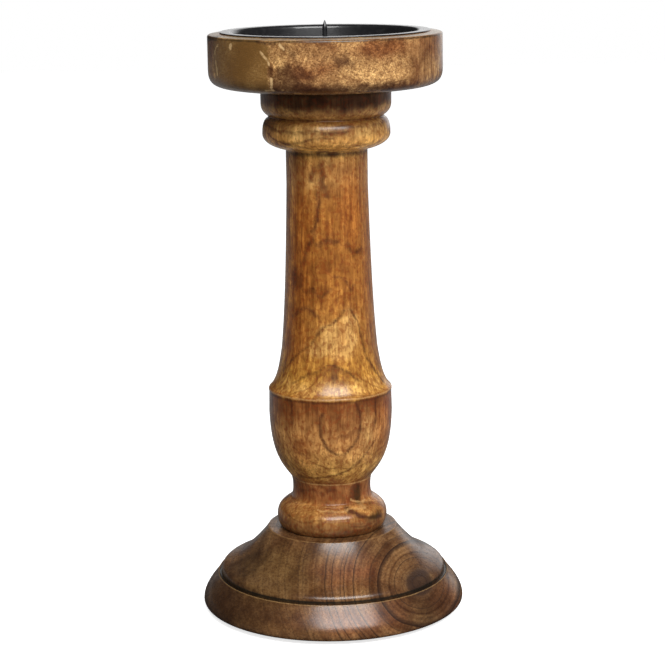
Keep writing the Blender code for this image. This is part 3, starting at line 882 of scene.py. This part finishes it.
def column_outline():
    """Tenon, collar, groove, torus, shaft, flare, shoulder, urn, neck, bead, tenon."""
    top_face = DISH_BOTTOM - GAP
    bottom_face = FOOT_TOP + GAP
    tenon_top = top_face + DISH_TENON
    tenon_bottom = bottom_face - FOOT_TENON
    chamfer = 0.8
    torus_middle = (TORUS_RADIUS, SHAFT_TOP + 6.4)
    torus_bottom = (SHAFT_RADIUS + 0.4, SHAFT_TOP)
    shoulder_top = (SHOULDER_RADIUS - 0.1, SHOULDER + 0.3)
    urn_bottom = (NECK_RADIUS + 0.3, NECK_TOP + 0.2)
    neck_top = (NECK_RADIUS + 0.3, NECK_TOP - 0.3)
    neck_bottom = (NECK_RADIUS + 0.6, BEAD_TOP + 0.7)
    bead_middle = (23.8, FOOT_TOP + 8.2)
    collar_handles = (27.9, GROOVE + 3.2), (27.2, GROOVE + 1.9)
    shaft_handles = (18.5, SHOULDER + 55.0), (19.4, SHOULDER + 34.6)
    return [
        (0.0, DISH_SCREW_BOTTOM - 3.0),
        (PILOT_RADIUS, DISH_SCREW_BOTTOM),
        (PILOT_RADIUS, tenon_top),
        (TENON_RADIUS - chamfer, tenon_top),
        (TENON_RADIUS, tenon_top - chamfer),
        (TENON_RADIUS, top_face),
        (COLLAR_RADIUS, top_face),
        *curve((COLLAR_RADIUS, GROOVE + 5.6), *collar_handles, (25.1, GROOVE + 0.4)),
        (GROOVE_RADIUS, GROOVE),
        *curve((25.0, GROOVE - 0.5), (26.9, GROOVE - 1.2), (TORUS_RADIUS, GROOVE - 4.0), torus_middle),
        *curve(torus_middle, (TORUS_RADIUS, SHAFT_TOP + 1.9), (19.8, SHAFT_TOP), torus_bottom)[1:],
        (SHAFT_RADIUS, SHAFT_TOP - 0.7),
        *curve((SHAFT_RADIUS, SHAFT_TOP - 15.7), *shaft_handles, WAIST, 60),
        *curve(WAIST, (22.3, SHOULDER + 9.6), (23.6, SHOULDER + 3.1), shoulder_top)[1:],
        (SHOULDER_RADIUS, SHOULDER - 0.6),
        (URN_RADIUS, SHOULDER - 1.2),
        *curve((27.1, NECK_TOP + 30.2), (26.5, NECK_TOP + 10.3), (22.1, NECK_TOP + 6.4), urn_bottom, 40),
        *curve(neck_top, (17.0, NECK_TOP - 3.2), (17.0, BEAD_TOP + 3.0), neck_bottom),
        *curve((18.8, BEAD_TOP), (20.6, BEAD_TOP - 0.9), (23.5, BEAD_TOP - 3.1), bead_middle),
        *curve(bead_middle, (24.6, FOOT_TOP + 6.6), (24.6, FOOT_TOP + 2.4), (22.5, bottom_face))[1:],
        (TENON_RADIUS, bottom_face),
        (TENON_RADIUS, tenon_bottom + chamfer),
        (TENON_RADIUS - chamfer, tenon_bottom),
        (PILOT_RADIUS, tenon_bottom),
        (PILOT_RADIUS, FOOT_SCREW_TOP),
        (0.0, FOOT_SCREW_TOP + 3.0),
    ]


def dish_outline():
    """Countersunk recess for the pan, rounded rim, upright wall, and the mortise from below."""
    floor = DISH_TOP - RECESS_DEPTH
    mortise = TENON_RADIUS + GAP
    mortise_floor = DISH_BOTTOM + DISH_TENON + MORTISE_SPARE
    wall_handles = (DISH_RADIUS - 0.1, DISH_BOTTOM + 2.8), (47.4, DISH_BOTTOM + 1.1)
    return [
        (COUNTERSINK_RADIUS, floor),
        (RECESS_RADIUS - RECESS_CORNER, floor),
        *arc((RECESS_RADIUS - RECESS_CORNER, floor + RECESS_CORNER), RECESS_CORNER, -90, 0)[1:],
        (RECESS_RADIUS, DISH_TOP),
        (FLANGE_RADIUS, DISH_TOP),
        *arc((DISH_RADIUS - DISH_EDGE, DISH_TOP - RIM_FALL - DISH_EDGE), DISH_EDGE, 84, 0),
        *curve((DISH_RADIUS, DISH_BOTTOM + 7.7), *wall_handles, (40.4, DISH_BOTTOM + 0.5)),
        (COLLAR_RADIUS, DISH_BOTTOM),
        (mortise, DISH_BOTTOM),
        (mortise, mortise_floor),
        (PILOT_RADIUS, mortise_floor),
        (PILOT_RADIUS, floor - COUNTERSINK_DEPTH),
    ]


def pan_outline():
    """Upper skin of the pressed pan outwards, then its lower skin back, one sheet apart."""
    bend = (PAN_RADIUS + FLANGE_BEND, PAN_TOP - FLANGE_BEND)
    corner = (PAN_FLOOR_RADIUS - PAN_CORNER, PAN_FLOOR + PAN_CORNER)
    lip = (FLANGE_RADIUS - SHEET / 2, PAN_TOP - SHEET / 2)
    return [
        (PAN_HOLE, PAN_FLOOR),
        *arc(corner, PAN_CORNER, -90, -5),
        *arc(bend, FLANGE_BEND, 175, 90),
        *arc(lip, SHEET / 2, 90, -90, 6),
        *arc(bend, FLANGE_BEND - SHEET, 90, 175),
        *arc(corner, PAN_CORNER + SHEET, -5, -90),
        (PAN_HOLE, PAN_FLOOR - SHEET),
    ]


def pricket_outline():
    """Drawn point with a rounded tip, pin, weld fillet, and the flat head under the pan's floor."""
    head_top = PAN_FLOOR - SHEET - REST_GAP
    tip_radius = 0.22
    tip = (0.0, PRICKET_TIP - tip_radius)
    fillet = 0.35
    return [
        (0.0, PRICKET_TIP),
        *arc(tip, tip_radius, 75, 20, 4),
        (PRICKET_RADIUS * 0.8, PRICKET_TIP - PRICKET_POINT * 0.66),
        (PRICKET_RADIUS, PRICKET_TIP - PRICKET_POINT),
        *curve(
            (PRICKET_RADIUS, PAN_FLOOR + 1.0),
            (PRICKET_RADIUS, PAN_FLOOR + fillet),
            (PRICKET_RADIUS + fillet, PAN_FLOOR + 0.15),
            (PRICKET_RADIUS + 1.0, PAN_FLOOR + 0.06),
            8,
        ),
        (PRICKET_RADIUS + 0.9, PAN_FLOOR + 0.02),
        (PRICKET_RADIUS, PAN_FLOOR + 0.02),
        (PRICKET_RADIUS, head_top),
        (PRICKET_HEAD_RADIUS, head_top),
        (PRICKET_HEAD_RADIUS, head_top - PRICKET_HEAD * 0.6),
        (PRICKET_HEAD_RADIUS * 0.8, head_top - PRICKET_HEAD),
        (0.0, head_top - PRICKET_HEAD),
    ]


def chip_rim(dish):
    """Press a shallow chip into the rim's outer edge, left of the front."""
    for v in dish.data.vertices:
        azimuth = math.degrees(math.atan2(v.co.x, -v.co.y))
        across = math.radians(azimuth - CHIP_AZIMUTH) * DISH_RADIUS / CHIP_HALF_WIDTH
        up = (v.co.z / MM - (DISH_TOP - CHIP_BELOW_TOP)) / CHIP_HALF_HEIGHT
        outside = math.hypot(v.co.x, v.co.y) / MM - (DISH_RADIUS - 2.4)
        inside = 1 - across * across - up * up
        if inside > 0 and outside > 0:
            rough = 0.8 + 0.4 * noise.noise(v.co * 900)
            depth = CHIP_DEPTH * min(1.0, inside * 1.6) * rough * MM
            v.co -= Vector((v.co.x, v.co.y, v.co.length * 0.4)).normalized() * depth


def thread_ring(row, rows, per_pitch, facets):
    """Radii round one ring of the thread: a helical ridge on a core that tapers to the point."""
    taper = min(1.0, (rows - row + 1) * THREAD_PITCH / per_pitch / SCREW_POINT)
    ridge_height = (SCREW_RADIUS - SCREW_CORE) * min(1.0, row / per_pitch)
    radii = []
    for i in range(facets):
        phase = (row / per_pitch + i / facets) % 1.0
        ridge = max(0.0, 1.0 - abs(phase - 0.5) * 5.0)
        radii.append(taper * (SCREW_CORE + ridge * ridge_height))
    return radii


def screw_mesh(name, head, seat, length, per_pitch=12, facets=40):
    """A wood screw along -Z: the outline of its head, from the axis out and in to the shank, then
    a plain shank and a thread, which reach the length below the head's seat."""
    thread_top = seat - length * (1 - THREAD_SHARE)
    rows = int(length * THREAD_SHARE * per_pitch / THREAD_PITCH)
    rings = [([r] * facets, z) for r, z in head[1:]]
    rings.append(([SHANK_RADIUS] * facets, thread_top))
    for row in range(1, rows):
        z = thread_top - row * THREAD_PITCH / per_pitch
        rings.append((thread_ring(row, rows, per_pitch, facets), z))
    mesh = bmesh.new()
    crown = mesh.verts.new((0.0, 0.0, head[0][1] * MM))
    tip = mesh.verts.new((0.0, 0.0, (seat - length) * MM))
    loops = []
    for radii, z in rings:
        loop = []
        for i, r in enumerate(radii):
            angle = 2 * math.pi * i / facets
            loop.append(mesh.verts.new((r * MM * math.cos(angle), r * MM * math.sin(angle), z * MM)))
        loops.append(loop)
    for i in range(facets):
        j = (i + 1) % facets
        mesh.faces.new((crown, loops[0][i], loops[0][j]))
        mesh.faces.new((tip, loops[-1][j], loops[-1][i]))
        for upper, lower in zip(loops, loops[1:]):
            mesh.faces.new((upper[i], lower[i], lower[j], upper[j]))
    made = bpy.data.meshes.new(name)
    mesh.to_mesh(made)
    mesh.free()
    return made


def cut_cross(screw):
    """Cut a tapering cross recess into the top of a screw's head, which is at Z = 0."""
    blades = bmesh.new()
    for quarter in range(2):
        blade = bmesh.ops.create_cube(blades, size=1.0)["verts"]
        for corner in blade:
            low = corner.co.z < 0
            share = CROSS_TAPER if low else 1.0
            x = corner.co.x * CROSS_LENGTH * share
            y = corner.co.y * CROSS_WIDTH * share
            corner.co = Vector((x, y, -CROSS_DEPTH if low else CROSS_DEPTH)) * MM
        turn = Matrix.Rotation(math.radians(90 * quarter), 3, "Z")
        bmesh.ops.rotate(blades, verts=blade, matrix=turn)
    mesh = bpy.data.meshes.new("cross")
    blades.to_mesh(mesh)
    blades.free()
    cutter = linked("cross", mesh)
    recess = screw.modifiers.new("cross recess", "BOOLEAN")
    recess.operation = "DIFFERENCE"
    recess.solver = "EXACT"
    recess.use_self = True
    recess.object = cutter
    cut = bpy.data.meshes.new_from_object(screw.evaluated_get(bpy.context.evaluated_depsgraph_get()))
    screw.modifiers.clear()
    screw.data = cut
    cut.set_sharp_from_angle(angle=math.radians(SCREW_SHARP))
    bpy.data.objects.remove(cutter)


def make_foot_screw(look):
    """Pan-head screw that points up, out of the counterbore, into the column."""
    seat = -FOOT_SCREW_HEAD
    head = [
        (0.0, 0.0),
        (1.6, -0.05),
        (2.8, -0.3),
        (3.8, -0.9),
        (4.4, -1.6),
        (SCREW_HEAD_RADIUS, -2.5),
        (SCREW_HEAD_RADIUS, -3.1),
        (4.5, seat),
        (SHANK_RADIUS, seat),
    ]
    length = FOOT_SCREW_TOP - FOOT_SCREW_BOTTOM - FOOT_SCREW_HEAD
    screw = linked("foot_screw_fine", screw_mesh("foot_screw_fine", head, seat, length), SCREW_SHARP)
    cut_cross(screw)
    up = Matrix.Rotation(math.pi, 4, "X")
    screw.data.transform(Matrix.Translation((0, 0, FOOT_SCREW_BOTTOM * MM)) @ up)
    fitted(screw, "foot_screw", "stand", look)


def make_dish_screw(look):
    """Countersunk screw that points down, through the dish's floor into the column."""
    seat = -DISH_SCREW_HEAD
    head = [
        (0.0, 0.0),
        (3.0, 0.0),
        (4.3, 0.0),
        (4.55, -0.1),
        (SCREW_HEAD_RADIUS, -0.3),
        (SHANK_RADIUS, seat),
    ]
    length = DISH_SCREW_TOP - DISH_SCREW_BOTTOM - DISH_SCREW_HEAD
    screw = linked("dish_screw_fine", screw_mesh("dish_screw_fine", head, seat, length), SCREW_SHARP)
    cut_cross(screw)
    screw.data.transform(Matrix.Translation((0, 0, DISH_SCREW_TOP * MM)))
    fitted(screw, "dish_screw", "stand", look)


def make_pads(look):
    """Four felt discs with soft edges and a slightly hairy face."""
    outline = [
        (0.0, PAD_TOP),
        (PAD_RADIUS - 0.3, PAD_TOP),
        *arc((PAD_RADIUS - 0.6, PAD_TOP / 2), 0.6, 50, -50, 5),
        (PAD_RADIUS - 0.4, 0.02),
        (0.0, 0.02),
    ]
    for i in range(PAD_COUNT):
        pad = turned(f"pad_{i + 1}", outline, 64, 0.2, 0.5)
        angle = math.radians(45 + 360 * i / PAD_COUNT)
        centre = Vector((math.cos(angle), math.sin(angle), 0.0)) * PAD_CIRCLE * MM
        for v in pad.data.vertices:
            fuzz = noise.noise_vector(v.co * 1600 + Vector((i, 0, 0))) * 0.09 * MM
            v.co += Vector((fuzz.x, fuzz.y, 0.0)) + centre
        fitted(pad, f"felt_pad_{i + 1}", "stand", look)


def make_object():
    foot = turned("foot_turned", foot_outline())
    keep_marks(foot, foot_marks())
    fitted(foot, "foot", "stand", foot_look())

    column = turned("column_turned", column_outline(), step=MARKED_STEP)
    keep_marks(column, column_marks())
    fitted(column, "column", "stand", column_look())

    dish = turned("dish_turned", dish_outline(), DISH_FACETS, step=MARKED_STEP)
    keep_marks(dish, dish_marks())
    chip_rim(dish)
    fitted(dish, "dish", "stand", dish_look())

    enamel = enamel_look()
    pan = turned("pan_pressed", pan_outline(), ease=0.05)
    fitted(pan, "drip_pan", "drip_tray", enamel)
    pricket = turned("pricket_pin", pricket_outline(), 48, 0.1, 0.5)
    fitted(pricket, "pricket", "drip_tray", enamel)

    zinc = zinc_look()
    make_foot_screw(zinc)
    make_dish_screw(zinc)
    washer_outline = [
        (WASHER_HOLE, WASHER_TOP),
        (WASHER_RADIUS, WASHER_TOP),
        (WASHER_RADIUS, WASHER_BOTTOM),
        (WASHER_HOLE, WASHER_BOTTOM),
    ]
    washer = turned("washer_fine", washer_outline, 96, 0.15)
    fitted(washer, "foot_washer", "stand", zinc)
    make_pads(felt_look())


# ---------------------------------------------------------------- studio

def make_camera():
    data = bpy.data.cameras.new("camera")
    data.lens = LENS
    data.clip_start = 0.01
    camera = bpy.data.objects.new("camera", data)
    tilt = Matrix.Rotation(math.pi / 2 - CAMERA_DROP, 4, "X")
    roll = Matrix.Rotation(CAMERA_ROLL, 4, "Z")
    camera.matrix_world = Matrix.Translation(CAMERA_PLACE * MM) @ tilt @ roll
    bpy.context.scene.collection.objects.link(camera)
    bpy.context.scene.camera = camera


def make_softbox(azimuth, elevation, distance, width, height, watts):
    """A rectangular area light that faces the candlestick, placed and sized in metres."""
    data = bpy.data.lights.new("softbox", "AREA")
    data.shape = "RECTANGLE"
    data.size = width
    data.size_y = height
    data.energy = watts
    light = bpy.data.objects.new("softbox", data)
    a, e = math.radians(azimuth), math.radians(elevation)
    direction = Vector((math.sin(a) * math.cos(e), -math.cos(a) * math.cos(e), math.sin(e)))
    middle = Vector((0.0, 0.0, DISH_TOP * 0.4 * MM))
    light.location = middle + direction * distance
    light.rotation_euler = direction.to_track_quat("Z", "Y").to_euler()
    bpy.context.scene.collection.objects.link(light)


def make_floor():
    """A wide pale floor: white to the camera; for the light it throws back, paler at the right,
    and in the varnish's gloss paler behind."""
    signs = (-1, -1), (1, -1), (1, 1), (-1, 1)
    mesh = bpy.data.meshes.new("floor")
    corners = [(x * FLOOR_HALF * MM, y * FLOOR_HALF * MM, 0) for x, y in signs]
    mesh.from_pydata(corners, [], [(0, 1, 2, 3)])
    floor = linked("floor", mesh)
    look = Look("paper")
    path = look.add("LightPath")
    seen = path.outputs["Is Camera Ray"]
    right = look.vector("DOT_PRODUCT", look.place, (0.8, 0.6, 0.0))
    fill = look.band(right, -150.0, 150.0, 0.2, 0.75)
    behind = look.vector("DOT_PRODUCT", look.place, (0.0, 1.0, 0.0))
    gloss = look.band(behind, 0.0, 400.0, 0.02, 0.4)
    lit = look.mix(path.outputs["Is Glossy Ray"], fill, gloss)
    look.set(Base_Color=look.math("MAXIMUM", lit, seen), Roughness=0.9)
    look.set(Emission_Color=(1.0, 1.0, 1.0), Emission_Strength=look.math("MULTIPLY", seen, 0.75))
    floor.data.materials.append(look.material)


def make_world():
    """Soft fill, brightest behind and at the right, and a white wall behind for the gloss; plain
    white to the camera."""
    world = bpy.data.worlds.new("studio")
    bpy.context.scene.world = world
    world.use_nodes = True
    sky = Sky(world.node_tree)
    right = sky.vector("DOT_PRODUCT", sky.direction, (0.86, 0.5, 0.0))
    behind = sky.vector("DOT_PRODUCT", sky.direction, (0.26, 0.965, 0.0))
    side_fill = sky.band(right, -0.3, 0.9, 0.06, 0.55)
    back_fill = sky.band(behind, 0.1, 0.7, 0.0, 0.9)
    fill = sky.math("MAXIMUM", side_fill, back_fill)
    gloss = sky.band(behind, 0.85, 0.98, 0.02, 1.0)
    path = sky.add("LightPath")
    lit = sky.mix(path.outputs["Is Glossy Ray"], fill, gloss)
    background = sky.tree.nodes["Background"]
    background.inputs["Color"].default_value = (1.0, 1.0, 1.0, 1.0)
    sky.feed(background.inputs["Strength"], sky.math("MAXIMUM", lit, path.outputs["Is Camera Ray"]))


def make_studio():
    make_camera()
    make_floor()
    make_world()
    make_softbox(azimuth=13, elevation=44, distance=1.3, width=1.1, height=0.75, watts=23)
    scene = bpy.context.scene
    scene.view_settings.view_transform = "Standard"
    scene.view_settings.look = "None"


make_studio()
make_object()
